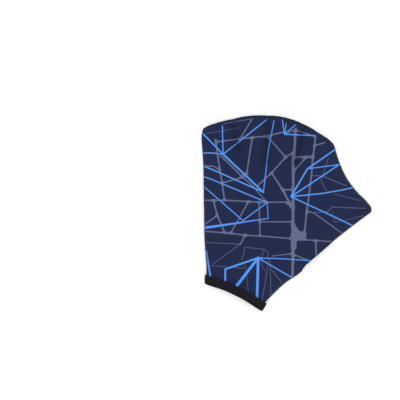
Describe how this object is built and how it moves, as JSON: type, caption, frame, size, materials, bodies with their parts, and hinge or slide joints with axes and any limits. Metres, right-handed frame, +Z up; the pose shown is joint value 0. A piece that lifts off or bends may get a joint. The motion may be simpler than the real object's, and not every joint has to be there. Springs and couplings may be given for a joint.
{
  "type": "webbed swim glove",
  "caption": "Neoprene webbed swim glove lying on its palm, with open finger ends, a thumb mouth, a bound wrist and a printed back.",
  "frame": {"origin": "under the middle of the glove's bounding box, on the plane that the palm rests on", "axes": "+X towards the thumb, +Y towards the fingertips, +Z up from the palm through the printed back"},
  "size_m": [0.174, 0.2, 0.0156],
  "materials": {
    "printed_neoprene": "matt",
    "plain_neoprene": "matt",
    "binding_tape": "matt",
    "sewing_thread": "matt"
  },
  "bodies": {
    "root": {"back_panel": "printed_neoprene", "palm_panel": "plain_neoprene", "wrist_binding": "binding_tape"}
  },
  "joints": []
}
